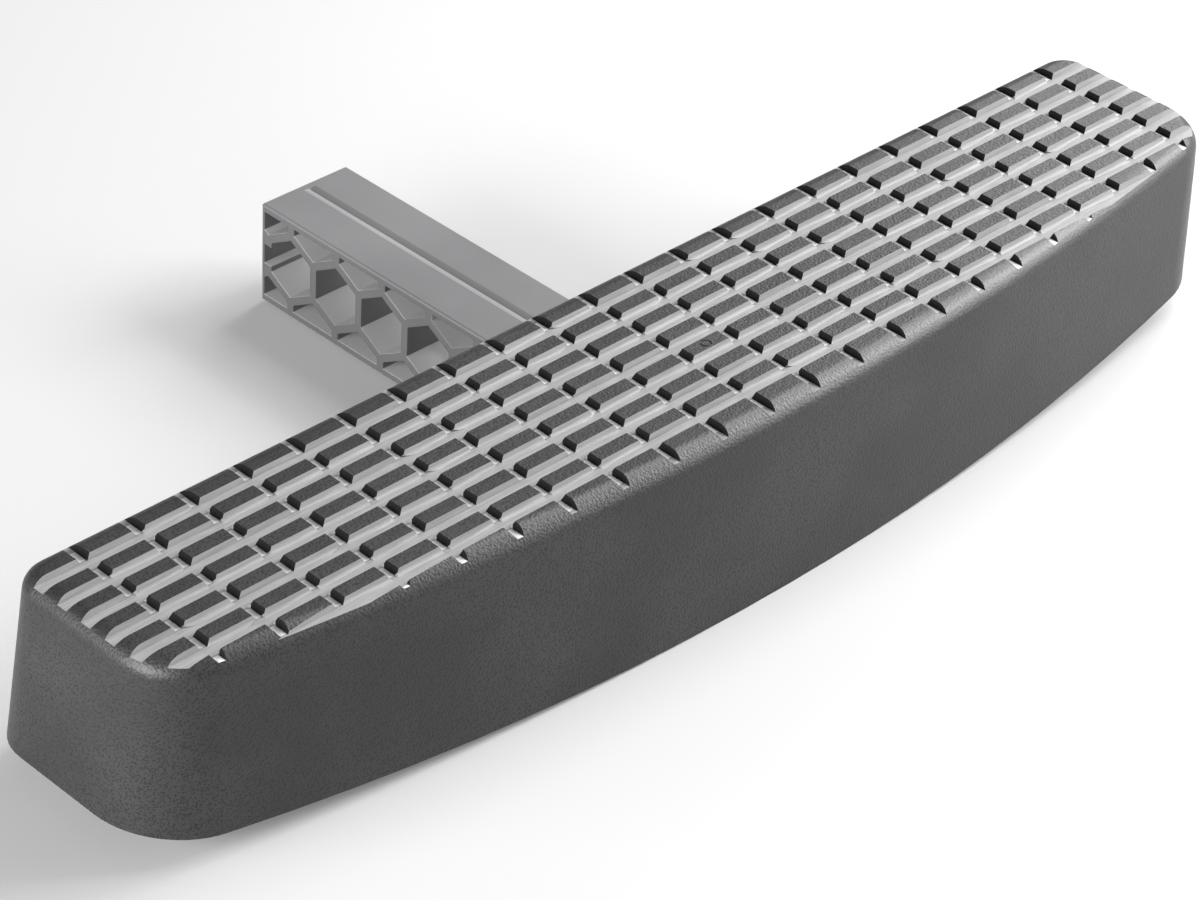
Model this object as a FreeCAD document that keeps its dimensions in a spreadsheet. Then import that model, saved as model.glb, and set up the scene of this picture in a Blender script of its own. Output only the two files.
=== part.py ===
import FreeCAD, Part
import math
import os
import Sketcher
from FreeCAD import Placement, Rotation, Vector

# Hitch receiver step: a moulded step cover with a grooved tread, bolted onto a
# ribbed frame and onto the square shank that slides into a 2 inch receiver tube.
# The origin is the middle of the hitch pin bore, on the axis of the shank.
# +X runs along the step, +Y towards the vehicle, +Z up. Sizes are millimetres.

SIZES = {
    # shank
    "shank_width": 50.8,
    "shank_edge_radius": 1.2,
    "shank_free_length": 110.0,
    "pin_bore_radius": 8.15,
    # honeycomb core of the shank
    "cell_flats": 26.0,
    "cell_rib": 4.0,
    "cell_first": 20.0,
    "core_rim": 3.6,
    "core_end_wall": 2.2,
    "core_length": 174.0,
    "core_web": 6.0,
    "end_slot_height": 9.8,
    "score_width": 6.6,
    "score_depth": 0.9,
    "score_end_gap": 4.0,
    # cover outline at the sharp top edge
    "tread_height": 65.0,
    "tread_half_length": 309.0,
    "tread_rear": 73.4,
    "tread_front": 190.5,
    "tread_bow_radius": 1795.0,
    "tread_front_corner": 31.0,
    "tread_rear_corner": 14.0,
    "top_edge_radius": 9.0,
    # cover walls: draft in degrees, and the rim
    "cover_height": 92.0,
    "wall_draft": 6.3,
    "front_draft": 1.93,
    "rim_front_corner": 40.0,
    "rim_keel_radius": 3520.0,
    # cover thicknesses and ribs
    "cover_wall": 4.0,
    "tread_thickness": 7.0,
    "cover_rib": 3.0,
    "seat_clearance": 0.3,
    # tread grooves
    "groove_depth": 2.7,
    "cross_pitch": 27.0,
    "cross_top_width": 6.4,
    "cross_floor_width": 3.2,
    "long_pitch": 13.8,
    "long_first": 89.2,
    "long_top_width": 7.0,
    "long_floor_width": 5.4,
    "gate_mark_radius": 2.6,
    "gate_mark_width": 0.9,
    "gate_mark_depth": 0.4,
    # frame inside the cover
    "plate_thickness": 8.0,
    "plate_half_length": 245.0,
    "plate_rear": 82.0,
    "plate_depth": 84.0,
    "plate_corner": 12.0,
    "frame_skirt": 33.4,
    "frame_rib": 4.0,
    "rib_pitch": 54.0,
    # part of the shank inside the frame
    "shank_wall": 4.0,
    "shank_roof": 8.0,
    # fasteners
    "bolt_radius": 4.0,
    "bolt_hole_radius": 4.5,
    "bolt_length": 25.0,
    "bolt_tip_clearance": 1.0,
    "bolt_head_flats": 13.0,
    "bolt_head_height": 5.3,
    "thread_clearance": 0.05,
    "boss_radius": 10.0,
}

# as many cross grooves as lie wholly on the flat of the tread, the same on both sides
CROSS_GROOVES = 2 * math.floor(
    (SIZES["tread_half_length"] - SIZES["top_edge_radius"] - SIZES["cross_top_width"] / 2)
    / SIZES["cross_pitch"] + 0.5)
LONG_GROOVES = 7
CELLS_IN_ROW = 6
FRAME_BAYS = 4
OVERCUT = 10.0

doc = FreeCAD.newDocument("hitch_receiver_step")

sheet = doc.addObject("Spreadsheet::Sheet", "sizes")
for row, (name, size) in enumerate(SIZES.items(), start=1):
    sheet.set(f"A{row}", name)
    sheet.set(f"B{row}", str(size))
    sheet.setAlias(f"B{row}", name)
doc.recompute()


def s(name):
    """Name a spreadsheet cell in an expression."""
    return f"sizes.{name}"


def value(expression):
    """Work out an expression on the sheet as a plain number."""
    result = sheet.evalExpression(str(expression))
    return float(getattr(result, "Value", result))


def bind(obj, **expressions):
    """Bind properties of an object to expressions on the sheet."""
    for prop, expression in expressions.items():
        obj.setExpression(prop, str(expression))


def place(obj, x="0", y="0", z="0", rotation=None):
    """Put an object at a point given by expressions."""
    if rotation is not None:
        obj.Placement = Placement(Vector(0, 0, 0), rotation)
    for axis, expression in zip("xyz", (x, y, z)):
        obj.setExpression(f".Placement.Base.{axis}", str(expression))


# Sketches

def new_body(name):
    """Start an empty body."""
    return doc.addObject("PartDesign::Body", name)


def new_sketch(body, name, plane, offset=None):
    """Attach a sketch to one of the body's own origin planes."""
    sketch = body.newObject("Sketcher::SketchObject", name)
    planes = {feature.Role: feature for feature in body.Origin.OriginFeatures}
    sketch.AttachmentSupport = [(planes[plane], "")]
    sketch.MapMode = "FlatFace"
    if offset is not None:
        sketch.setExpression("AttachmentOffset.Base.z", str(offset))
    doc.recompute()
    return sketch


def hold(sketch, kind, *arguments):
    """Add a constraint and bind it when its last argument is an expression."""
    if isinstance(arguments[-1], str):
        expression = arguments[-1]
        index = sketch.addConstraint(
            Sketcher.Constraint(kind, *arguments[:-1], value(expression)))
        sketch.setExpression(f"Constraints[{index}]", expression)
        return index
    return sketch.addConstraint(Sketcher.Constraint(kind, *arguments))


def hold_point(sketch, geometry, vertex, x, y):
    """Fix a vertex at a place given by two expressions; "0" puts it on an axis."""
    for kind, expression, axis in (("DistanceX", x, -2), ("DistanceY", y, -1)):
        if expression == "0":
            hold(sketch, "PointOnObject", geometry, vertex, axis)
        else:
            hold(sketch, kind, -1, 1, geometry, vertex, expression)


def polygon(sketch, points):
    """Draw a closed outline whose corners are pairs of expressions."""
    corners = [Vector(value(x), value(y), 0) for x, y in points]
    first = sketch.GeometryCount
    count = len(corners)
    for index, corner in enumerate(corners):
        following = corners[(index + 1) % count]
        sketch.addGeometry(Part.LineSegment(corner, following), False)
    for index, (x, y) in enumerate(points):
        following = first + (index + 1) % count
        hold(sketch, "Coincident", first + index, 2, following, 1)
        hold_point(sketch, first + index, 1, x, y)


def rectangle(sketch, low_x, high_x, low_y, high_y):
    """Draw a rectangle between four expressions."""
    polygon(sketch, [(low_x, low_y), (high_x, low_y), (high_x, high_y), (low_x, high_y)])


def circle(sketch, x, y, radius):
    """Draw a circle whose centre and radius are expressions."""
    centre = Vector(value(x), value(y), 0)
    index = sketch.addGeometry(Part.Circle(centre, Vector(0, 0, 1), value(radius)), False)
    hold_point(sketch, index, 3, x, y)
    hold(sketch, "Radius", index, str(radius))


def hexagon(sketch, x, y, flats):
    """Draw a hexagon across the given flats, with corners to the left and right."""
    corner = f"{flats} / {math.sqrt(3)}"
    steps = ((1, 0), (0.5, 0.5), (-0.5, 0.5), (-1, 0), (-0.5, -0.5), (0.5, -0.5))
    polygon(sketch, [(f"{x} + {across} * {corner}", f"{y} + {up} * {flats}" if up else y)
                     for across, up in steps])


def spread(size, depth, draft):
    """Widen a size of the tread outline by the draft down to a depth below the tread."""
    return f"({s('tread_' + size)} + ({depth}) * tan({s(draft)}))"


def bowed_outline(sketch, depth, inset):
    """Draw the step's outline at a depth below the tread, moved inwards by inset.

    The rear corners are rounded; the corners between the ends and the bowed front are sharp.
    """
    half = f"{spread('half_length', depth, 'wall_draft')} - ({inset})"
    rear = f"{spread('rear', f'-({depth})', 'wall_draft')} + ({inset})"
    corner = f"{spread('rear_corner', depth, 'wall_draft')} - ({inset})"
    front = f"{spread('front', depth, 'front_draft')} - ({inset})"
    bow = f"{spread('bow_radius', depth, 'front_draft')} - ({inset})"
    half_n, rear_n, corner_n = value(half), -value(rear), value(corner)
    bow_n, centre_n = value(bow), value(bow) - value(front)
    lean = math.asin(half_n / bow_n)
    front_n = centre_n - bow_n * math.cos(lean)
    quarter = math.pi / 2
    side_n = half_n - corner_n

    def arc(x, y, radius, first, last):
        return Part.ArcOfCircle(Part.Circle(Vector(x, y, 0), Vector(0, 0, 1), radius), first, last)

    def line(x1, y1, x2, y2):
        return Part.LineSegment(Vector(x1, y1, 0), Vector(x2, y2, 0))

    sketch.addGeometry([
        line(half_n, front_n, half_n, rear_n - corner_n),
        arc(side_n, rear_n - corner_n, corner_n, 0, quarter),
        line(side_n, rear_n, -side_n, rear_n),
        arc(-side_n, rear_n - corner_n, corner_n, quarter, 2 * quarter),
        line(-half_n, rear_n - corner_n, -half_n, front_n),
        arc(0, centre_n, bow_n, 3 * quarter - lean, 3 * quarter + lean),
    ], False)
    right, rear_right, back, rear_left, left, bowed = range(6)
    for first, second in ((right, rear_right), (rear_right, back), (back, rear_left),
                          (rear_left, left)):
        hold(sketch, "Tangent", first, 2, second, 1)
    hold(sketch, "Coincident", left, 2, bowed, 1)
    hold(sketch, "Coincident", bowed, 2, right, 1)
    hold(sketch, "Vertical", right)
    hold(sketch, "Vertical", left)
    hold(sketch, "DistanceX", -1, 1, right, 1, half)
    hold(sketch, "DistanceX", left, 1, -1, 1, half)
    hold(sketch, "DistanceY", back, 1, -1, 1, rear)
    for geometry, radius in ((rear_right, corner), (rear_left, corner), (bowed, bow)):
        hold(sketch, "Radius", geometry, radius)
    hold(sketch, "PointOnObject", bowed, 3, -2)
    hold(sketch, "DistanceY", -1, 1, bowed, 3, f"{bow} - ({front})")


def below_rim(sketch):
    """Draw the space below the rim of the cover, which bows down in its middle."""
    reach = f"({RIM_HALF_LENGTH} + {OVERCUT})"
    foot = f"({s('tread_height')} - {s('cover_height')} - {OVERCUT})"
    radius = s("rim_keel_radius")
    middle = f"({s('tread_height')} - {s('cover_height')} + {radius})"
    reach_n, foot_n, radius_n, middle_n = value(reach), value(foot), value(radius), value(middle)
    lean = math.asin(reach_n / radius_n)
    end_n = middle_n - radius_n * math.cos(lean)
    down = 1.5 * math.pi
    keel = Part.Circle(Vector(0, middle_n, 0), Vector(0, 0, 1), radius_n)
    sketch.addGeometry([
        Part.ArcOfCircle(keel, down - lean, down + lean),
        Part.LineSegment(Vector(reach_n, end_n, 0), Vector(reach_n, foot_n, 0)),
        Part.LineSegment(Vector(reach_n, foot_n, 0), Vector(-reach_n, foot_n, 0)),
        Part.LineSegment(Vector(-reach_n, foot_n, 0), Vector(-reach_n, end_n, 0)),
    ], False)
    bow, right, bottom, left = range(4)
    for first, last, second, start in ((bow, 2, right, 1), (right, 2, bottom, 1),
                                       (bottom, 2, left, 1), (left, 2, bow, 1)):
        hold(sketch, "Coincident", first, last, second, start)
    hold(sketch, "Vertical", right)
    hold(sketch, "Vertical", left)
    hold(sketch, "Radius", bow, radius)
    hold_point(sketch, bow, 3, "0", middle)
    hold_point(sketch, right, 2, reach, foot)
    hold_point(sketch, left, 1, f"-{reach}", foot)


# Features

def pad(body, sketch, name, length, reverse=False, symmetric=False):
    """Raise a sketch into a solid."""
    feature = body.newObject("PartDesign::Pad", name)
    feature.Profile = sketch
    feature.Reversed = reverse
    feature.Midplane = symmetric
    feature.setExpression("Length", str(length))
    doc.recompute()
    return feature


def pocket(body, sketch, name, length, reverse=False):
    """Cut a sketch into the body and make sure that it removed something."""
    before = body.Shape.Volume
    feature = body.newObject("PartDesign::Pocket", name)
    feature.Profile = sketch
    feature.Reversed = reverse
    feature.setExpression("Length", str(length))
    doc.recompute()
    assert body.Shape.Volume < before, f"{name} cuts nothing"
    return feature


def row_of(body, feature, name, sketch, axis, pitch, count, reverse=False):
    """Repeat a feature along one of its sketch's axes."""
    pattern = body.newObject("PartDesign::LinearPattern", name)
    pattern.Originals = [feature]
    pattern.Direction = (sketch, [axis])
    pattern.Reversed = reverse
    pattern.Mode = "Spacing"
    pattern.setExpression("Offset", str(pitch))
    pattern.Occurrences = count
    body.Tip = pattern
    doc.recompute()
    return pattern


def groove_profile(sketch, centre, top, floor):
    """Draw the section of a tread groove, open at the top."""
    level = s("tread_height")
    steps = [(top, f"{level} + {OVERCUT}"), (top, level), (floor, f"{level} - {s('groove_depth')}")]
    down = [(f"{centre} + {width} / 2", height) for width, height in steps]
    rise = [(f"{centre} - {width} / 2", height) for width, height in reversed(steps)]
    polygon(sketch, down + rise)


# Step cover

RIM_FRONT = spread("front", s("cover_height"), "front_draft")
RIM_HALF_LENGTH = spread("half_length", s("cover_height"), "wall_draft")
RIM_REAR = spread("rear", f"-{s('cover_height')}", "wall_draft")
FRONT_TO_BACK = f"2 * ({RIM_FRONT} + {OVERCUT})"
END_TO_END = f"2 * ({RIM_HALF_LENGTH} + {OVERCUT})"
TREAD_UNDERSIDE = f"{s('tread_height')} - {s('tread_thickness')}"
PLATE_TOP = f"{s('shank_width')} / 2 + {s('plate_thickness')}"
RIB_FOOT = f"{PLATE_TOP} + {s('seat_clearance')}"
BOLT_TIP = f"{s('shank_width')} / 2 + {s('bolt_length')}"
DEEP_END = f"({s('plate_rear')} + {s('plate_depth')})"
PLATE_MIDDLE = f"({s('plate_rear')} + {s('plate_depth')} / 2)"
BOLT_ROW_OFFSET = f"({s('plate_depth')} / 4 - {s('frame_rib')} / 4)"
BOLT_ROWS = (f"-{PLATE_MIDDLE} - {BOLT_ROW_OFFSET}", f"-{PLATE_MIDDLE} + {BOLT_ROW_OFFSET}")
BOLT_BAY = 3


def bay_middle(bay):
    """Say where the middle of a rib bay is along the step; bay 0 holds the shank."""
    return f"{bay} * {s('rib_pitch')}" if bay else "0"


def bolt_places():
    """List the bolt axes, from the left end to the right end."""
    return [(bay_middle(bay), y) for bay in (-BOLT_BAY, 0, BOLT_BAY) for y in BOLT_ROWS]


def sides_of(shape):
    """Sort the faces of an upright block into its top, its bowed front and its other walls."""
    faces = {"top": [], "front": [], "walls": []}
    for index, face in enumerate(shape.Faces, start=1):
        flat = isinstance(face.Surface, Part.Plane)
        if flat and abs(face.Surface.Axis.z) > 0.999:
            if face.CenterOfMass.z > shape.BoundBox.Center.z:
                faces["top"].append(f"Face{index}")
        elif not flat and face.BoundBox.XLength > value(s("tread_half_length")):
            faces["front"].append(f"Face{index}")
        else:
            faces["walls"].append(f"Face{index}")
    return faces


def drafted_block(body, name, depth, inset, height):
    """Model a block with the step's outline and drafted sides, from a depth below the tread."""
    outline = new_sketch(body, f"{name}_outline", "XY_Plane", f"{s('tread_height')} - ({depth})")
    bowed_outline(outline, depth, inset)
    block = pad(body, outline, name, height, reverse=True)
    for side, draft in (("walls", "wall_draft"), ("front", "front_draft")):
        faces = sides_of(block.Shape)
        leaned = body.newObject("PartDesign::Draft", f"{name}_{side}")
        leaned.Base = (block, faces[side])
        leaned.NeutralPlane = (block, faces["top"])
        leaned.setExpression("Angle", s(draft))
        doc.recompute()
        assert leaned.Shape.Volume > block.Shape.Volume, f"{name} leans inwards at its {side}"
        block = leaned
    return block


def front_corners(shape):
    """Find the leaning edges between the ends and the bowed front."""
    return [index for index, edge in enumerate(shape.Edges, start=1)
            if edge.BoundBox.ZLength > value(s("cover_height")) / 2
            and edge.CenterOfMass.y < -value(s("tread_front")) / 2]


def cover_hollow():
    """Model the space under the cover, which leaves its ribs and bosses standing."""
    body = new_body("cover_hollow")
    block = drafted_block(body, "hollow", s("tread_thickness"), s("cover_wall"),
                          f"{s('cover_height')} - {s('tread_thickness')} + {OVERCUT}")
    corners = body.newObject("PartDesign::Fillet", "hollow_corners")
    corners.Base = (block, [f"Edge{index}" for index in front_corners(block.Shape)])
    corners.setExpression("Radius", f"{s('rim_front_corner')} - {s('cover_wall')}")
    doc.recompute()

    ribs = new_sketch(body, "cross_rib_places", "XY_Plane", TREAD_UNDERSIDE)
    half_rib = f"{s('cover_rib')} / 2"
    rear, front = f"-{RIM_REAR} + {OVERCUT}", f"-{RIM_FRONT} - {OVERCUT}"
    outermost = FRAME_BAYS + 0.5
    start = f"-{outermost} * {s('rib_pitch')}"
    rectangle(ribs, f"{start} - {half_rib}", f"{start} + {half_rib}", front, rear)
    rib_height = f"({TREAD_UNDERSIDE}) - ({RIB_FOOT})"
    cross_rib = pocket(body, ribs, "cross_rib", rib_height)
    row_of(body, cross_rib, "cross_ribs", ribs, "H_Axis", s("rib_pitch"), 2 * FRAME_BAYS + 2)

    rails = new_sketch(body, "long_rib_places", "XY_Plane", TREAD_UNDERSIDE)
    reach = f"{RIM_HALF_LENGTH} + {OVERCUT}"
    for y in BOLT_ROWS:
        rectangle(rails, f"-({reach})", reach, f"{y} - {half_rib}", f"{y} + {half_rib}")
    pocket(body, rails, "long_ribs", rib_height)

    bosses = new_sketch(body, "boss_places", "XY_Plane", TREAD_UNDERSIDE)
    holes = new_sketch(body, "bolt_space_places", "XY_Plane", f"{PLATE_TOP} - {OVERCUT}")
    for x, y in bolt_places():
        circle(bosses, x, y, s("boss_radius"))
        circle(holes, x, y, f"{s('bolt_radius')} + {s('thread_clearance')}")
    pocket(body, bosses, "bosses", f"({TREAD_UNDERSIDE}) - ({PLATE_TOP})")
    pad(body, holes, "bolt_spaces",
        f"({BOLT_TIP}) + {s('bolt_tip_clearance')} - ({PLATE_TOP}) + {OVERCUT}")
    return body


def step_cover():
    """Model the cover: drafted walls on a bowed rim, hollow below, grooved on top."""
    hollow = cover_hollow()
    block_body = new_body("drafted_block")
    block = drafted_block(block_body, "cover_block", "0", "0", s("cover_height"))
    level = value(s("tread_height"))
    radii = [value(s("rim_front_corner")), value(s("tread_front_corner"))]
    corners = []
    for index in front_corners(block.Shape):
        starts_at_top = abs(block.Shape.Edges[index - 1].Vertexes[0].Point.z - level) < 1e-6
        corners.append((index, *(reversed(radii) if starts_at_top else radii)))
    widening = doc.addObject("Part::Fillet", "widening_corners")
    widening.Base = block_body
    widening.Edges = corners
    doc.recompute()

    body = new_body("step_cover")
    body.BaseFeature = widening
    doc.recompute()
    base = body.Tip
    edges = [f"Edge{index}" for index, edge in enumerate(base.Shape.Edges, start=1)
             if all(abs(vertex.Point.z - level) < 1e-6 for vertex in edge.Vertexes)]
    rounding = body.newObject("PartDesign::Fillet", "rounded_top_edge")
    rounding.Base = (base, edges)
    rounding.setExpression("Radius", s("top_edge_radius"))
    doc.recompute()

    notch = new_sketch(body, "shank_notch_outline", "XZ_Plane", f"{RIM_REAR} - {OVERCUT}")
    half = f"{s('shank_width')} / 2 + {s('seat_clearance')}"
    rectangle(notch, f"-({half})", half, f"-{s('cover_height')}", half)
    pocket(body, notch, "shank_notch", f"2 * {OVERCUT} + {s('tread_rear')} - {RIM_REAR}", True)

    rim_bow = new_sketch(body, "space_below_rim", "XZ_Plane", f"{RIM_FRONT} + {OVERCUT}")
    below_rim(rim_bow)
    pocket(body, rim_bow, "bowed_rim", FRONT_TO_BACK)

    hollowed = body.newObject("PartDesign::Boolean", "hollowed")
    hollowed.Type = "Cut"
    hollowed.setObjects([hollow])
    doc.recompute()

    cross = new_sketch(body, "cross_groove_section", "XZ_Plane", f"{RIM_FRONT} + {OVERCUT}")
    groove_profile(cross, f"-{(CROSS_GROOVES - 1) / 2} * {s('cross_pitch')}", s("cross_top_width"),
                   s("cross_floor_width"))
    first_cross = pocket(body, cross, "cross_groove", FRONT_TO_BACK)
    row_of(body, first_cross, "cross_grooves", cross, "H_Axis", s("cross_pitch"), CROSS_GROOVES)

    lengthwise = new_sketch(body, "long_groove_section", "YZ_Plane",
                            f"-{RIM_HALF_LENGTH} - {OVERCUT}")
    last = f"-({s('long_first')} + {LONG_GROOVES - 1} * {s('long_pitch')})"
    groove_profile(lengthwise, last, s("long_top_width"), s("long_floor_width"))
    first_long = pocket(body, lengthwise, "long_groove", END_TO_END, True)
    row_of(body, first_long, "long_grooves", lengthwise, "H_Axis", s("long_pitch"), LONG_GROOVES)

    mark = new_sketch(body, "gate_mark_outline", "XY_Plane", s("tread_height"))
    middle_pad = f"-({s('long_first')} + {LONG_GROOVES // 2 + 0.5} * {s('long_pitch')})"
    circle(mark, "0", middle_pad, s("gate_mark_radius"))
    circle(mark, "0", middle_pad, f"{s('gate_mark_radius')} - {s('gate_mark_width')}")
    pocket(body, mark, "gate_mark", s("gate_mark_depth"))
    return body


# Frame and shank

def under_frame():
    """Model the ribbed frame under the tread, with a socket for the shank."""
    body = new_body("under_frame")
    plate = new_sketch(body, "plate_outline", "XY_Plane", PLATE_TOP)
    length = s("plate_half_length")
    rectangle(plate, f"-{length}", length, f"-{DEEP_END}", f"-{s('plate_rear')}")
    block = pad(body, plate, "plate", f"{s('plate_thickness')} + {s('frame_skirt')}", reverse=True)
    upright = [f"Edge{index}" for index, edge in enumerate(block.Shape.Edges, start=1)
               if abs(edge.tangentAt(edge.FirstParameter).z) > 0.999]
    corner_rounding = body.newObject("PartDesign::Fillet", "rounded_plate_corners")
    corner_rounding.Base = (block, upright)
    corner_rounding.setExpression("Radius", s("plate_corner"))
    doc.recompute()

    half = f"{s('shank_width')} / 2"
    half_rib = f"{s('frame_rib')} / 2"
    bays = new_sketch(body, "bay_places", "XY_Plane", f"-{s('shank_width')}")
    rows = ((f"-{DEEP_END} + {s('frame_rib')}", f"-{PLATE_MIDDLE} - {half_rib}"),
            (f"-{PLATE_MIDDLE} + {half_rib}", f"-{s('plate_rear')} - {s('frame_rib')}"))
    for low_y, high_y in rows:
        for bay in range(1, FRAME_BAYS + 1):
            near = f"{bay - 0.5} * {s('rib_pitch')} + {half_rib}"
            far = f"{bay + 0.5} * {s('rib_pitch')} - {half_rib}"
            rectangle(bays, near, far, low_y, high_y)
            rectangle(bays, f"-({far})", f"-({near})", low_y, high_y)
    pocket(body, bays, "bays", f"{s('shank_width')} + {half}", True)

    socket = new_sketch(body, "socket_outline", "XY_Plane", f"-{s('shank_width')}")
    side = f"{half} + {s('seat_clearance')}"
    rectangle(socket, f"-({side})", side, f"-{DEEP_END} + {s('frame_rib')}",
              f"-{s('plate_rear')} + {OVERCUT}")
    pocket(body, socket, "socket", f"{s('shank_width')} + {half}", True)

    holes = new_sketch(body, "frame_bolt_hole_places", "XY_Plane", PLATE_TOP)
    for x, y in bolt_places():
        circle(holes, x, y, s("bolt_hole_radius"))
    pocket(body, holes, "frame_bolt_holes", s("plate_thickness"))
    return body


def honeycomb_core():
    """Model the cells that are cored out of both sides of the shank."""
    pitch = f"({s('cell_flats')} + {s('cell_rib')})"
    row_pitch = f"({pitch} * {math.sqrt(3) / 2})"
    prisms = []
    for row in (-1, 0, 1):
        for column in range(CELLS_IN_ROW + abs(row)):
            cell = doc.addObject("Part::Prism", f"cell_{row + 2}_{column + 1}")
            cell.Polygon = 6
            bind(cell, Circumradius=f"{s('cell_flats')} / {math.sqrt(3)}", Height=s("shank_width"))
            shift = column - abs(row) / 2
            place(cell, f"-{s('shank_width')} / 2",
                  f"{s('shank_free_length')} - {s('cell_first')} - {shift} * {pitch}",
                  f"{row} * {row_pitch}", Rotation(Vector(0, 1, 0), 90))
            prisms.append(cell)
    slot = doc.addObject("Part::Box", "end_slot")
    bind(slot, Length=s("shank_width"), Width=s("cell_first"), Height=s("end_slot_height"))
    place(slot, f"-{s('shank_width')} / 2", f"{s('shank_free_length')} - {s('cell_first')}",
          f"-{s('end_slot_height')} / 2")
    cells = doc.addObject("Part::MultiFuse", "cells")
    cells.Shapes = prisms + [slot]
    window = doc.addObject("Part::Box", "core_window")
    rim_inside = f"({s('shank_width')} / 2 - {s('core_rim')})"
    bind(window, Length=s("shank_width"), Width=s("core_length"), Height=f"2 * {rim_inside}")
    place(window, f"-{s('shank_width')} / 2",
          f"{s('shank_free_length')} - {s('core_end_wall')} - {s('core_length')}",
          f"-{rim_inside}")
    framed = doc.addObject("Part::Common", "framed_cells")
    framed.Base = cells
    framed.Tool = window
    web = doc.addObject("Part::Box", "core_web")
    bind(web, Length=s("core_web"), Width=f"{s('core_length')} + {OVERCUT}",
         Height=s("shank_width"))
    place(web, f"-{s('core_web')} / 2",
          f"{s('shank_free_length')} - {s('core_length')} - {OVERCUT}",
          f"-{s('shank_width')} / 2")
    core = doc.addObject("Part::Cut", "honeycomb_core")
    core.Base = framed
    core.Tool = web
    return core


def shank_bar():
    """Model the square bar of the shank, scored on top and below, open below inside the frame."""
    body = new_body("shank_bar")
    half = f"{s('shank_width')} / 2"
    inner_end = f"({DEEP_END} - {s('frame_rib')} - {s('seat_clearance')})"
    section = new_sketch(body, "shank_section", "XZ_Plane", f"-{s('shank_free_length')}")
    rectangle(section, f"-{half}", half, f"-{half}", half)
    bar = pad(body, section, "shank", f"{s('shank_free_length')} + {inner_end}")
    edges = [f"Edge{index}" for index, edge in enumerate(bar.Shape.Edges, start=1)]
    rounding = body.newObject("PartDesign::Fillet", "rounded_shank_edges")
    rounding.Base = (bar, edges)
    rounding.setExpression("Radius", s("shank_edge_radius"))
    doc.recompute()

    wells = new_sketch(body, "well_places", "XY_Plane", f"-{s('shank_width')}")
    wall = s("shank_wall")
    side = f"{half} - {wall}"
    rectangle(wells, f"-({side})", side, f"-{inner_end} + {wall}", f"-{PLATE_MIDDLE} - {wall} / 2")
    rectangle(wells, f"-({side})", side, f"-{PLATE_MIDDLE} + {wall} / 2",
              f"-{s('plate_rear')} - {wall}")
    pocket(body, wells, "wells", f"{s('shank_width')} + {half} - {s('shank_roof')}", True)

    holes = new_sketch(body, "shank_bolt_hole_places", "XY_Plane", half)
    for y in BOLT_ROWS:
        circle(holes, "0", y, s("bolt_hole_radius"))
    pocket(body, holes, "shank_bolt_holes", s("shank_roof"))

    score = new_sketch(body, "score_section", "XZ_Plane",
                       f"{s('score_end_gap')} - {s('shank_free_length')}")
    for face in (1, -1):
        outer = f"{face} * ({half} + {s('score_depth')})"
        inner = f"{face} * ({half} - {s('score_depth')})"
        polygon(score, [(f"-{s('score_width')}", outer), ("0", inner), (s("score_width"), outer)])
    pocket(body, score, "score_lines",
           f"{s('shank_free_length')} - {s('score_end_gap')} + {s('plate_rear')}", True)
    return body


def receiver_shank():
    """Model the shank: the bar, less the honeycomb and the pin bore."""
    cored = doc.addObject("Part::Cut", "cored_shank")
    cored.Base = shank_bar()
    cored.Tool = honeycomb_core()
    bore = doc.addObject("Part::Cylinder", "pin_bore")
    bind(bore, Radius=s("pin_bore_radius"), Height=s("shank_width"))
    place(bore, f"-{s('shank_width')} / 2", "0", "0", Rotation(Vector(0, 1, 0), 90))
    shank = doc.addObject("Part::Cut", "receiver_shank")
    shank.Base = cored
    shank.Tool = bore
    doc.recompute()
    return shank


# Fasteners

def bolt(name, x, y, seat):
    """Model a hexagon head bolt from below whose head bears on the given level."""
    body = new_body(name)
    head = new_sketch(body, f"{name}_head_outline", "XY_Plane", f"{seat} - {s('bolt_head_height')}")
    hexagon(head, "0", "0", s("bolt_head_flats"))
    pad(body, head, f"{name}_head", s("bolt_head_height"))
    stem = new_sketch(body, f"{name}_stem_outline", "XY_Plane", seat)
    circle(stem, "0", "0", s("bolt_radius"))
    pad(body, stem, f"{name}_stem", f"({BOLT_TIP}) - ({seat})")
    place(body, x, y)
    return body


parts = [step_cover(), under_frame(), receiver_shank()]
frame_seat = f"{s('shank_width')} / 2"
shank_seat = f"{frame_seat} - {s('shank_roof')}"
for number, (x, y) in enumerate(bolt_places(), start=1):
    if x == "0":
        parts.append(bolt(f"shank_bolt_{number}", x, y, shank_seat))
    else:
        parts.append(bolt(f"frame_bolt_{number}", x, y, frame_seat))

doc.recompute()
for obj in doc.Objects:
    if "Invalid" in obj.State or "Error" in obj.State:
        raise RuntimeError(f"{obj.Name} failed: {obj.State}")

os.makedirs("parts", exist_ok=True)
for part in parts:
    shape = part.Shape
    if shape.isNull() or not shape.isValid():
        raise RuntimeError(f"{part.Label} has no valid shape")
    shape.exportStep(f"parts/{part.Label}.step")
    box = shape.BoundBox
    print(part.Label, len(shape.Solids), round(shape.Volume / 1000.0, 2),
          [round(v, 1) for v in (box.XMin, box.XMax, box.YMin, box.YMax, box.ZMin, box.ZMax)])
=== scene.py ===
"""Looks of the hitch receiver step: finishes, softened edges, studio and camera.

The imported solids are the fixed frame. Sizes are metres in the part's own frame: the origin is
the middle of the pin bore, +X runs along the step, +Y towards the vehicle and +Z up.
"""

import logging
import math
from dataclasses import dataclass
from enum import Enum
from typing import Any, Protocol

import bmesh
import bpy
from mathutils import Euler, Matrix, Vector


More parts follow.
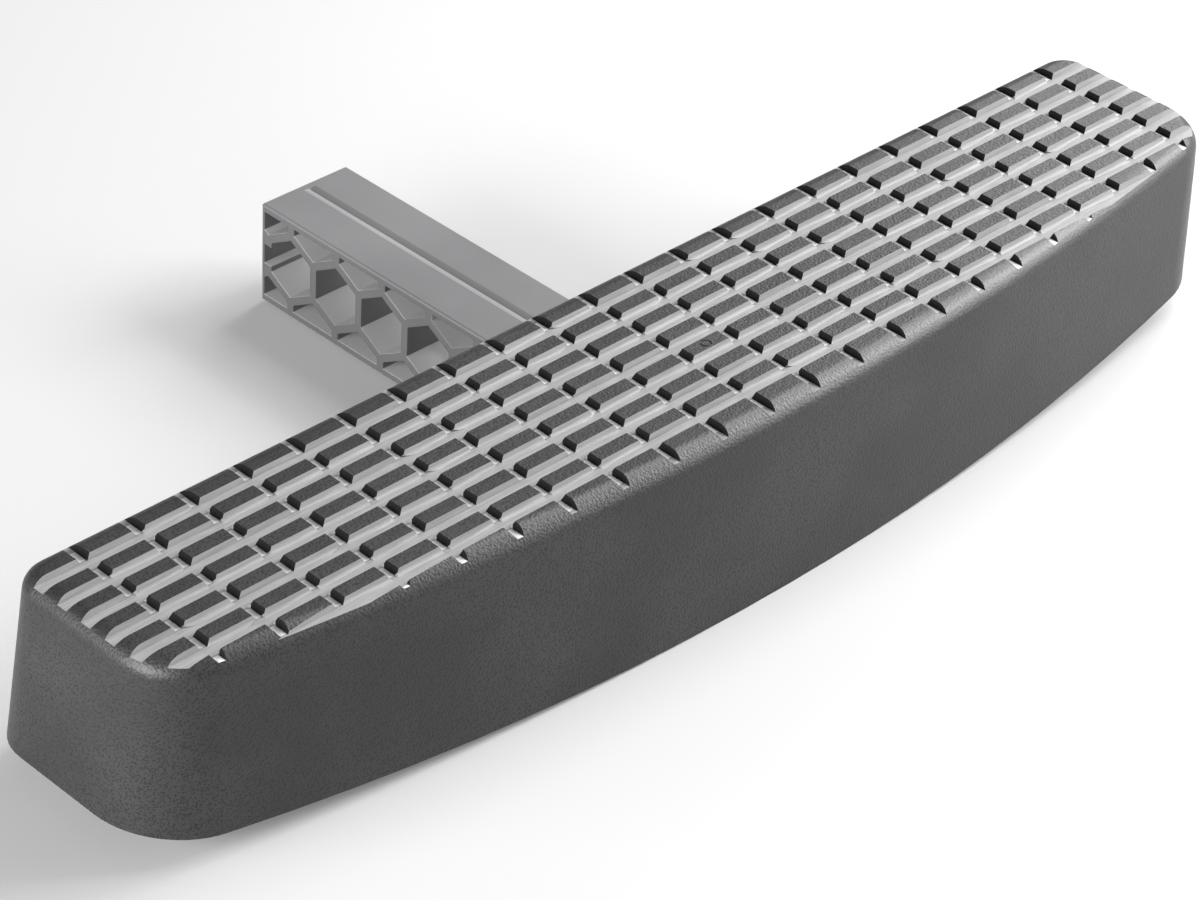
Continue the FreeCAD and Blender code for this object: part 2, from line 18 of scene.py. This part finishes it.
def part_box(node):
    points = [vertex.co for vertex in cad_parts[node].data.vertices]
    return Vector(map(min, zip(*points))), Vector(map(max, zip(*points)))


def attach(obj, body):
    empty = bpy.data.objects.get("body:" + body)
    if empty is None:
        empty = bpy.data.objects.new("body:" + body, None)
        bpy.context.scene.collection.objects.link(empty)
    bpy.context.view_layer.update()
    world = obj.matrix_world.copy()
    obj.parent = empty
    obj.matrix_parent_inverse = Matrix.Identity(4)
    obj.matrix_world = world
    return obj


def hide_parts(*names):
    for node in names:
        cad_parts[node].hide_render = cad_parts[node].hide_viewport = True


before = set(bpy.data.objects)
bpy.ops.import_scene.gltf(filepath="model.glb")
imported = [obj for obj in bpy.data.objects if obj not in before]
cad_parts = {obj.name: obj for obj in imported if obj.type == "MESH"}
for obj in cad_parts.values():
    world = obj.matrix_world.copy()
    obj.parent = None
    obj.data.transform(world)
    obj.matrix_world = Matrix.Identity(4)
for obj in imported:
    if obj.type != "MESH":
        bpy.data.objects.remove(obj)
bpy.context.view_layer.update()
LOG = logging.getLogger("hitch_receiver_step")

# corners closer than this are one, and faces that turn by fewer degrees are one flat
MERGE = 0.000005
FLAT_ANGLE = 0.4
BOLT_NAMES = ("frame_bolt", "shank_bolt")

Colour = tuple[float, float, float]
Place = tuple[float, float, float]
Range = tuple[float, float]


class Axis(Enum):
    """Level axes of the part's frame, by their place in a vector."""

    ALONG_STEP = 0
    TO_VEHICLE = 1


class CoverSkin(Enum):
    """Finishes of the cover, by the number of their material slot."""

    GRAINED = 0
    # painted light: groove floors and long groove walls
    GROOVE = 1
    # painted shade: steep walls of the cross grooves
    NOTCH = 2


class ShankSkin(Enum):
    """Finishes of the shank, by the number of their material slot."""

    PLAIN = 0
    # painted shade: shank side faces and one side of each score
    RIM = 1
    # painted light: inside the cells
    CELL = 2
    # painted highlight: the other side of each score
    PALE = 3


# Shader maths


class Signal:
    """A shader socket that takes part in Python arithmetic."""

    def __init__(self, board: "Board", socket: bpy.types.NodeSocket) -> None:
        """Keep the socket and the board that its Math nodes go on."""
        self.board = board
        self.socket = socket

    def _math(self, operation: str, first: Any, second: Any) -> "Signal":
        """Add a Math node on two values."""
        return self.board.add("ShaderNodeMath", {"operation": operation}, {0: first, 1: second})

    def __add__(self, other: Any) -> "Signal":
        """Add another value."""
        return self._math("ADD", self, other)

    __radd__ = __add__

    def __sub__(self, other: Any) -> "Signal":
        """Take another value away."""
        return self._math("SUBTRACT", self, other)

    def __rsub__(self, other: Any) -> "Signal":
        """Take this signal away from another value."""
        return self._math("SUBTRACT", other, self)

    def __mul__(self, other: Any) -> "Signal":
        """Multiply by another value."""
        return self._math("MULTIPLY", self, other)

    __rmul__ = __mul__

    def near_row(self, first: float, pitch: float, reach: float) -> "Signal":
        """Give 1 near each line of an evenly spaced row.

        Args:
            first: place of one line.
            pitch: distance between lines.
            reach: how far a line reaches to each side.

        Returns:
            The mask, 1 near a line and 0 elsewhere.
        """
        turns = self._math("FRACT", (self - first) * (1.0 / pitch) + 0.5, 0.0)
        gap = self._math("ABSOLUTE", turns - 0.5, 0.0)
        return self._math("LESS_THAN", gap, reach / pitch)

    def ramp(self, low: float, high: float) -> "Signal":
        """Map a range smoothly onto 0 to 1.

        Args:
            low: value that gives 0.
            high: value that gives 1.

        Returns:
            The mapped signal.
        """
        return self.board.add(
            "ShaderNodeMapRange", {"interpolation_type": "SMOOTHSTEP"},
            {"Value": self, "From Min": low, "From Max": high, "To Min": 0.0, "To Max": 1.0})


def rgba(colour: Colour) -> tuple[float, float, float, float]:
    """Give a colour its full alpha."""
    return (*colour, 1.0)


class Board:
    """A material's node tree, with one method that makes every node."""

    def __init__(self, name: str) -> None:
        """Start an empty material.

        Args:
            name: the material's name.
        """
        self.material = bpy.data.materials.new(name)
        self.material.use_nodes = True
        self.tree = self.material.node_tree
        self.tree.nodes.clear()

    def add(self, kind: str, settings: dict[str, Any], inputs: dict[Any, Any],
            output: Any = 0) -> Signal:
        """Make a node.

        Args:
            kind: the node's type.
            settings: its properties, set before its sockets.
            inputs: values or signals by socket name or number.
            output: the name or number of the output to hand back.

        Returns:
            The chosen output as a signal.
        """
        node = self.tree.nodes.new(kind)
        for name, setting in settings.items():
            setattr(node, name, setting)
        for name, given in inputs.items():
            if isinstance(given, Signal):
                self.tree.links.new(given.socket, node.inputs[name])
            else:
                node.inputs[name].default_value = given
        return Signal(self, node.outputs[output])

    def place(self) -> Signal:
        """Give the place on the piece, in metres."""
        return self.add("ShaderNodeTexCoord", {}, {}, "Object")

    def part_of(self, vector: Signal, axis: Axis) -> Signal:
        """Give one coordinate of a vector."""
        return self.add("ShaderNodeSeparateXYZ", {}, {"Vector": vector}, axis.value)

    def noise(self, place: Signal, scale: float, detail: float = 2.0) -> Signal:
        """Give soft noise between 0 and 1."""
        return self.add("ShaderNodeTexNoise", {},
                        {"Vector": place, "Scale": scale, "Detail": detail}, "Fac")

    def cells(self, place: Signal, scale: float) -> Signal:
        """Give the distance from the middle of rounded cells."""
        return self.add("ShaderNodeTexVoronoi", {"feature": "SMOOTH_F1"},
                        {"Vector": place, "Scale": scale, "Smoothness": 0.6}, "Distance")

    def blend(self, amount: Signal, first: Signal | Colour, second: Signal | Colour) -> Signal:
        """Mix two colours.

        Args:
            amount: 0 for the first colour, 1 for the second.
            first: a colour, or a signal that carries one.
            second: a colour, or a signal that carries one.

        Returns:
            The mixed colour.
        """
        first, second = (given if isinstance(given, Signal) else rgba(given)
                         for given in (first, second))
        return self.add("ShaderNodeMix", {"data_type": "RGBA"}, {0: amount, 6: first, 7: second}, 2)

    def bump(self, height: Signal, distance: float) -> Signal:
        """Turn a height into a bumped normal, where a height of 1 is as high as the distance."""
        return self.add("ShaderNodeBump", {},
                        {"Height": height, "Distance": distance, "Strength": 1.0})

    def finish(self, **inputs: Any) -> bpy.types.Material:
        """Close the tree with a surface shader.

        Args:
            inputs: shader values or signals, with underscores for the spaces of socket names.

        Returns:
            The finished material.
        """
        named = {name.replace("_", " "): given for name, given in inputs.items()}
        shader = self.add("ShaderNodeBsdfPrincipled", {}, named)
        output = self.tree.nodes.new("ShaderNodeOutputMaterial")
        self.tree.links.new(shader.socket, output.inputs["Surface"])
        return self.material


# Finishes


class Finish(Protocol):
    """Anything that builds a material of its own."""

    def material(self) -> bpy.types.Material:
        """Build the material."""


@dataclass(frozen=True)
class GrainedPlastic:
    """Near-black moulded plastic with a fine leather grain, its valleys painted darker as painted
    shade.
    """

    name: str
    dark: Colour
    light: Colour
    roughness: float = 0.36
    haze: float = 0.12
    specular: float = 0.32
    pit_shade: Colour = (0.011, 0.011, 0.011)
    grain_pitch: float = 0.0011
    grain_depth: float = 0.00008
    fine_per_grain: float = 1.6
    cell_share: float = 0.7
    fine_share: float = 0.6
    cloud_scale: float = 18.0
    cell_range: Range = (0.15, 0.75)
    cloud_range: Range = (0.3, 0.7)
    pit_range: Range = (0.3, 0.75)

    def material(self) -> bpy.types.Material:
        """Build the material."""
        board = Board(self.name)
        place = board.place()
        cells = board.cells(place, 1.0 / self.grain_pitch)
        fine = board.noise(place, self.fine_per_grain / self.grain_pitch, 3.0)
        grain = cells.ramp(*self.cell_range) * self.cell_share + fine * self.fine_share
        cloud = board.noise(place, self.cloud_scale, 3.0)
        skin = board.blend(cloud.ramp(*self.cloud_range), self.dark, self.light)
        # painted shade: the grain's lowest places are painted towards a darker colour
        shaded_valleys = board.blend(grain.ramp(*self.pit_range), self.pit_shade, skin)
        return board.finish(
            Base_Color=shaded_valleys,
            Roughness=self.roughness + fine * self.haze,
            Specular_IOR_Level=self.specular,
            Normal=board.bump(grain, self.grain_depth))


@dataclass(frozen=True)
class PaintedGrooveLighting:
    """Painted light for the tread's grooves: a smooth base colour far lighter than the cover,
    streaked along the step.

    A short painted highlight line runs along the middle of each cross groove, between two pads.
    Darkened, the same skin is painted shade on the steep walls of the cross grooves.
    """

    name: str
    colour: Colour
    streak: Colour
    roughness: float = 0.5
    haze: float = 0.15
    specular: float = 0.5
    bright: Colour = (0.5, 0.5, 0.505)
    cross_first: float = 0.0135
    cross_pitch: float = 0.027
    cross_reach: float = 0.0013
    pad_first: float = -0.0961
    pad_pitch: float = 0.0138
    pad_reach: float = 0.0033
    streak_scale: Place = (60.0, 900.0, 900.0)
    streak_range: Range = (0.3, 0.7)
    dust_scale: float = 1100.0
    dust_depth: float = 0.00004

    def material(self) -> bpy.types.Material:
        """Build the material."""
        board = Board(self.name)
        place = board.place()
        stretched = board.add("ShaderNodeMapping", {},
                              {"Vector": place, "Scale": self.streak_scale})
        streaks = board.noise(stretched, 1.0, 3.0)
        dust = board.noise(place, self.dust_scale)
        across = board.part_of(place, Axis.ALONG_STEP)
        along = board.part_of(place, Axis.TO_VEHICLE)
        # painted highlight along the middle of each cross groove
        line = (across.near_row(self.cross_first, self.cross_pitch, self.cross_reach)
                * along.near_row(self.pad_first, self.pad_pitch, self.pad_reach))
        # painted light: the base colour, far lighter than the cover, stands in for the light on the
        # groove's floors and walls
        skin = board.blend(streaks.ramp(*self.streak_range), self.colour, self.streak)
        return board.finish(
            Base_Color=board.blend(line, skin, self.bright),
            Roughness=self.roughness + dust * self.haze,
            Specular_IOR_Level=self.specular,
            Normal=board.bump(dust, self.dust_depth))


@dataclass(frozen=True)
class SmoothPlastic:
    """Plain moulded plastic with faint flow clouding and fine haze."""

    name: str
    colour: Colour
    worn: Colour
    roughness: float = 0.42
    dulling: float = 0.12
    cloud_scale: float = 14.0
    cloud_range: Range = (0.3, 0.75)
    haze_scale: float = 900.0
    haze_depth: float = 0.00003

    def material(self) -> bpy.types.Material:
        """Build the material."""
        board = Board(self.name)
        place = board.place()
        cloud = board.noise(place, self.cloud_scale, 4.0)
        haze = board.noise(place, self.haze_scale)
        return board.finish(
            Base_Color=board.blend(cloud.ramp(*self.cloud_range), self.colour, self.worn),
            Roughness=self.roughness + cloud * self.dulling,
            Normal=board.bump(haze, self.haze_depth))


@dataclass(frozen=True)
class ZincSteel:
    """Zinc-plated steel with a fine turned grain and dull patches."""

    name: str
    colour: Colour = (0.55, 0.56, 0.58)
    dull: Colour = (0.36, 0.37, 0.38)
    roughness: float = 0.3
    dulling: float = 0.25
    patch_scale: float = 160.0
    patch_range: Range = (0.35, 0.65)
    scratch_scale: float = 1800.0
    scratch_depth: float = 0.00002

    def material(self) -> bpy.types.Material:
        """Build the material."""
        board = Board(self.name)
        place = board.place()
        patches = board.noise(place, self.patch_scale, 4.0)
        scratch = board.noise(place, self.scratch_scale, 1.0)
        return board.finish(
            Base_Color=board.blend(patches.ramp(*self.patch_range), self.colour, self.dull),
            Metallic=1.0,
            Roughness=self.roughness + patches * self.dulling,
            Normal=board.bump(scratch, self.scratch_depth))


@dataclass(frozen=True)
class StudioFloor:
    """Plain pale studio floor."""

    name: str = "pale_floor"
    colour: Colour = (0.34, 0.34, 0.34)
    glow: float = 0.2
    roughness: float = 0.75
    haze: float = 0.1
    cloud_scale: float = 3.0

    def material(self) -> bpy.types.Material:
        """Build the material."""
        board = Board(self.name)
        cloud = board.noise(board.place(), self.cloud_scale)
        return board.finish(
            Base_Color=rgba(self.colour),
            Roughness=self.roughness + cloud * self.haze,
            Emission_Color=rgba(self.colour),
            Emission_Strength=self.glow)


# Modelling


def deselect_all() -> None:
    """Leave nothing selected."""
    bpy.ops.object.select_all(action="DESELECT")


def take_up(piece: bpy.types.Object) -> None:
    """Select one piece alone and make it the active one.

    Args:
        piece: the object to take up.
    """
    deselect_all()
    piece.select_set(True)
    bpy.context.view_layer.objects.active = piece


def apply_modifier(piece: bpy.types.Object, kind: str, **settings: Any) -> None:
    """Add a modifier, set it and apply it.

    Args:
        piece: the object that it works on.
        kind: the modifier's type.
        settings: its properties.
    """
    take_up(piece)
    bpy.ops.object.modifier_add(type=kind)
    modifier = piece.modifiers[-1]
    for name, setting in settings.items():
        setattr(modifier, name, setting)
    bpy.ops.object.modifier_apply(modifier=modifier.name)


def skin_of(node: str, name: str) -> bpy.types.Object:
    """Copy a solid's surface into a piece of its own, merged and with flat faces whole.

    Args:
        node: the solid's name.
        name: the new piece's name.

    Returns:
        The new piece.
    """
    piece = bpy.data.objects.new(name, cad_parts[node].data.copy())
    bpy.context.scene.collection.objects.link(piece)
    piece.data.materials.clear()
    take_up(piece)
    bpy.ops.object.mode_set(mode="EDIT")
    bpy.ops.mesh.select_all(action="SELECT")
    bpy.ops.mesh.remove_doubles(threshold=MERGE)
    bpy.ops.mesh.dissolve_limited(angle_limit=math.radians(FLAT_ANGLE))
    bpy.ops.object.mode_set(mode="OBJECT")
    return piece


@dataclass
class SoftenedPiece:
    """A solid's surface with its sharp edges softened. Angles are in degrees."""

    node: str
    name: str
    slot: str
    finish: Finish
    softness: float
    segments: int = 2
    sharp_angle: float = 28.0
    smooth_angle: float = 32.0
    same_level: float = 0.00003

    def shape(self, piece: bpy.types.Object) -> None:
        """Shape and dress the merged surface before its edges are softened."""
        piece.data.materials.append(self.finish.material())

    def build(self) -> bpy.types.Object:
        """Build, dress and mount the piece.

        Returns:
            The finished piece.
        """
        piece = skin_of(self.node, self.name)
        self.shape(piece)
        apply_modifier(piece, "BEVEL", width=self.softness, segments=self.segments,
                       limit_method="ANGLE", angle_limit=math.radians(self.sharp_angle),
                       use_clamp_overlap=True, harden_normals=False)
        take_up(piece)
        bpy.ops.object.shade_smooth_by_angle(angle=math.radians(self.smooth_angle))
        apply_modifier(piece, "WEIGHTED_NORMAL", mode="FACE_AREA", weight=50, keep_sharp=True)
        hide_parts(self.node)
        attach(piece, "root")
        return piece


@dataclass(kw_only=True)
class HoneycombShank(SoftenedPiece):
    """The shank, with painted shade on the rims round its cells and painted light on the honeycomb
    inside.

    A score is a shallow V in the top or bottom. Its two sides lean opposite ways; one is painted
    shade, the other a painted highlight.
    """

    shaded_side: Finish
    lit_cell: Finish
    lit_score_side: Finish
    half_width: float = 0.0254
    score_depth: float = 0.0012
    score_lean: Range = (0.9, 0.98)
    end_wall: float = 0.9

    def shape(self, piece: bpy.types.Object) -> None:
        """Paint shade on the rims and on one side of each score, and light on the other side of
        each score and inside the cells.

        Args:
            piece: the merged surface of the shank.
        """
        for finish in (self.finish, self.shaded_side, self.lit_cell, self.lit_score_side):
            piece.data.materials.append(finish.material())
        for face in piece.data.polygons:
            face.material_index = self.skin_at(face).value

    def skin_at(self, face: bpy.types.MeshPolygon) -> ShankSkin:
        """Choose a face's finish by its place and the way that it looks.

        Args:
            face: a face of the shank.

        Returns:
            The finish that the face gets.
        """
        side = self.half_width - self.same_level
        core = side - self.score_depth
        across, along, height = face.center
        low, high = self.score_lean
        # painted shade on the side faces
        if abs(across) > side:
            return ShankSkin.RIM
        # painted shade on one side of a score, painted highlight on the other
        if low < abs(face.normal.z) < high and abs(height) > core:
            return ShankSkin.RIM if face.normal.x * face.normal.z < 0.0 else ShankSkin.PALE
        # painted light inside the cells
        if abs(height) < core and along > 0.0 and abs(face.normal.y) < self.end_wall:
            return ShankSkin.CELL
        if abs(height) < core and along < 0.0:
            return ShankSkin.CELL
        return ShankSkin.PLAIN


@dataclass(kw_only=True)
class TreadCover(SoftenedPiece):
    """The cover, with rounded feet to its pads, painted light in its grooves and painted shade on
    the steep walls of its cross grooves.

    steep and long_wall are parts of a face's normal, and fold is an angle in radians.
    """

    groove: Finish
    shaded_notch: Finish
    tread: float = 0.065
    groove_depth: float = 0.0027
    foot_radius: float = 0.0013
    foot_segments: int = 3
    steep: float = 0.7
    long_wall: float = 0.85
    fold: float = -0.5
    bow_radius: float = 1.795
    bow_centre: float = 1.6045
    run_out: float = 0.0065

    def shape(self, piece: bpy.types.Object) -> None:
        """Paint light and shade into the grooves and round the feet of the pads.

        Args:
            piece: the merged surface of the cover.
        """
        for finish in (self.finish, self.groove, self.shaded_notch):
            piece.data.materials.append(finish.material())
        take_up(piece)
        bpy.ops.object.mode_set(mode="EDIT")
        bpy.ops.mesh.select_all(action="DESELECT")
        bpy.ops.mesh.select_mode(type="EDGE")
        mesh = bmesh.from_edit_mesh(piece.data)
        inner = self.dress_grooves(mesh)
        for edge in mesh.edges:
            if self.is_foot(edge, inner):
                edge.select_set(True)
        bmesh.update_edit_mesh(piece.data)
        bpy.ops.mesh.bevel(offset=self.foot_radius, segments=self.foot_segments, affect="EDGES",
                           clamp_overlap=False)
        bpy.ops.object.mode_set(mode="OBJECT")

    def dress_grooves(self, mesh: bmesh.types.BMesh) -> set[bmesh.types.BMFace]:
        """Give the grooves' floors and long walls their painted light, and the steep walls of the
        cross grooves their painted shade.

        Args:
            mesh: the cover's surface, in edit mode.

        Returns:
            The faces that lie wholly between the grooves' floor and the tread.
        """
        floor = self.tread - self.groove_depth
        inner = set()
        for face in mesh.faces:
            heights = [vertex.co.z for vertex in face.verts]
            if min(heights) < floor - self.same_level:
                continue
            inner.add(face)
            on_floor = max(heights) < floor + self.same_level
            reaches_floor = min(heights) < floor + self.same_level
            across = abs(face.normal[Axis.ALONG_STEP.value])
            along = abs(face.normal[Axis.TO_VEHICLE.value])
            # painted light on the floors and long walls of the grooves
            if on_floor or (reaches_floor and along > self.long_wall):
                face.material_index = CoverSkin.GROOVE.value
            # painted shade on the steep walls of the cross grooves
            elif reaches_floor and across > self.steep:
                face.material_index = CoverSkin.NOTCH.value
        return inner

    def is_foot(self, edge: bmesh.types.BMEdge, inner: set[bmesh.types.BMFace]) -> bool:
        """Tell whether an edge is the foot of a pad along a lengthwise groove.

        Args:
            edge: an edge of the cover.
            inner: the faces between the grooves' floor and the tread.

        Returns:
            True for a foot on the floor, away from the front and the ends of the grooves.
        """
        floor = self.tread - self.groove_depth
        first, last = edge.verts
        on_floor = all(abs(vertex.co.z - floor) < self.same_level for vertex in edge.verts)
        across = abs(last.co.x - first.co.x) < abs(last.co.y - first.co.y)
        if not on_floor or across:
            return False
        runs_out = any(face not in inner for vertex in edge.verts for face in vertex.link_faces)
        near_front = any(self.inset(vertex.co) < self.run_out for vertex in edge.verts)
        return not runs_out and not near_front and edge.calc_face_angle_signed() < self.fold

    def inset(self, place: Vector) -> float:
        """Give how far a place lies behind the bowed front, seen from above."""
        return self.bow_radius - math.hypot(place.x, place.y - self.bow_centre)


# Studio


@dataclass
class SoftBox:
    """A soft rectangular light that faces the step."""

    name: str
    place: Place
    width: float
    depth: float
    power: float

    def build(self, target: Vector) -> None:
        """Hang the light and turn it to the target.

        Args:
            target: the place that the light faces.
        """
        light = bpy.data.lights.new(self.name, "AREA")
        light.shape = "RECTANGLE"
        light.size = self.width
        light.size_y = self.depth
        light.energy = self.power
        lamp = bpy.data.objects.new(self.name, light)
        lamp.location = self.place
        lamp.rotation_euler = (target - lamp.location).to_track_quat("-Z", "Y").to_euler()
        bpy.context.scene.collection.objects.link(lamp)


@dataclass
class Studio:
    """The pale floor, the soft lights and the camera. Camera angles are in degrees."""

    target: Place = (0.0, -0.13, 0.03)
    floor_reach: float = 6.0
    sky: float = 0.18
    camera_place: Place = (-1.0122, -1.0202, 0.9480)
    azimuth: float = -47.19
    elevation: float = 35.0
    roll: float = 3.83
    lens: float = 117.48
    sensor: float = 36.0
    nearest: float = 0.05
    farthest: float = 50.0
    boxes: tuple[SoftBox, ...] = (
        SoftBox("key_box", (1.5, -0.75, 1.05), 1.1, 0.8, 74.0),
        SoftBox("top_box", (1.2, 0.0, 1.6), 0.9, 0.9, 32.0),
        SoftBox("low_box", (1.3, -1.4, 0.5), 0.8, 0.5, 20.0),
        SoftBox("back_box", (1.9, 0.7, 0.9), 0.8, 0.6, 13.0),
        SoftBox("left_box", (-1.9, 0.3, 0.55), 1.4, 1.0, 42.0),
        SoftBox("fill_box", (-1.8, -0.4, 0.6), 1.1, 0.9, 50.0),
    )

    def build(self) -> None:
        """Set up everything round the step."""
        self.floor()
        self.light()
        self.camera()

    def floor(self) -> None:
        """Lay the floor at the step's lowest point."""
        deselect_all()
        low = min(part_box(node)[0].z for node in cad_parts)
        bpy.ops.mesh.primitive_plane_add(size=2 * self.floor_reach, location=(0.0, 0.0, low))
        floor = bpy.context.active_object
        floor.name = "floor"
        floor.data.materials.append(StudioFloor().material())

    def light(self) -> None:
        """Light the world and hang the soft boxes."""
        world = bpy.data.worlds.new("studio")
        bpy.context.scene.world = world
        world.use_nodes = True
        background = world.node_tree.nodes["Background"]
        background.inputs["Color"].default_value = rgba((1.0, 1.0, 1.0))
        background.inputs["Strength"].default_value = self.sky
        for box in self.boxes:
            box.build(Vector(self.target))

    def camera(self) -> None:
        """Stand the camera where the photograph was taken from."""
        lens = bpy.data.cameras.new("camera")
        lens.lens = self.lens
        lens.sensor_width = self.sensor
        lens.clip_start, lens.clip_end = self.nearest, self.farthest
        camera = bpy.data.objects.new("camera", lens)
        turn = Euler((math.radians(90.0 - self.elevation), 0.0, math.radians(self.azimuth)))
        rolled = turn.to_matrix() @ Matrix.Rotation(math.radians(self.roll), 3, "Z")
        camera.matrix_world = Matrix.LocRotScale(Vector(self.camera_place), rolled, None)
        bpy.context.scene.collection.objects.link(camera)
        bpy.context.scene.camera = camera
        bpy.context.scene.view_settings.view_transform = "Standard"


def dress_bolts() -> None:
    """Give the bolts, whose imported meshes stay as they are, their plated finish."""
    steel = ZincSteel("zinc_steel").material()
    for name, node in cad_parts.items():
        if name.startswith(BOLT_NAMES):
            node.data.materials.clear()
            node.data.materials.append(steel)
            LOG.info("%s: dressed as packed", name)


def main() -> None:
    """Build the pieces in order and report each."""
    logging.basicConfig(level=logging.INFO)
    cover_finish = GrainedPlastic("grained_black", (0.018, 0.018, 0.019), (0.028, 0.028, 0.029))
    # painted light for the grooves, with a painted highlight line in each cross groove
    lit_groove_finish = PaintedGrooveLighting("groove_painted_light", (0.2, 0.2, 0.202), (0.16, 0.16, 0.162))
    # painted shade: a darker copy for the steep walls of the cross grooves
    shaded_notch_finish = PaintedGrooveLighting("notch_painted_shade", (0.004, 0.004, 0.004), (0.006, 0.006, 0.006),
                                  roughness=0.7, specular=0.12, bright=(0.006, 0.006, 0.006))
    shank_finish = SmoothPlastic("moulded_grey", (0.095, 0.095, 0.098), (0.115, 0.115, 0.118))
    # painted shade: a darker copy of the shank grey for its sides and one side of each score
    shaded_side_finish = SmoothPlastic("painted_shade_side", (0.058, 0.058, 0.06), (0.072, 0.072, 0.074), 0.6)
    # painted highlight: a paler copy for the other side of each score
    lit_score_finish = SmoothPlastic("painted_highlight_score", (0.15, 0.15, 0.153), (0.18, 0.18, 0.183))
    # painted light: a much paler copy for inside the cells
    lit_cell_finish = SmoothPlastic("painted_light_cell", (0.3, 0.3, 0.304), (0.37, 0.37, 0.374), 0.5)
    frame_finish = SmoothPlastic("moulded_dark", (0.04, 0.04, 0.041), (0.055, 0.055, 0.057))
    pieces = [
        TreadCover("step_cover", "tread_cover", "cover", cover_finish, 0.00035,
                   groove=lit_groove_finish, shaded_notch=shaded_notch_finish),
        HoneycombShank("receiver_shank", "shank_skin", "receiver_shank", shank_finish, 0.0005,
                       shaded_side=shaded_side_finish, lit_cell=lit_cell_finish, lit_score_side=lit_score_finish),
        SoftenedPiece("under_frame", "frame_skin", "under_frame", frame_finish, 0.0006),
    ]
    for piece in pieces:
        made = piece.build()
        LOG.info("%s: %d faces", made.name, len(made.data.polygons))
    dress_bolts()
    Studio().build()


if __name__ == "__main__":
    main()
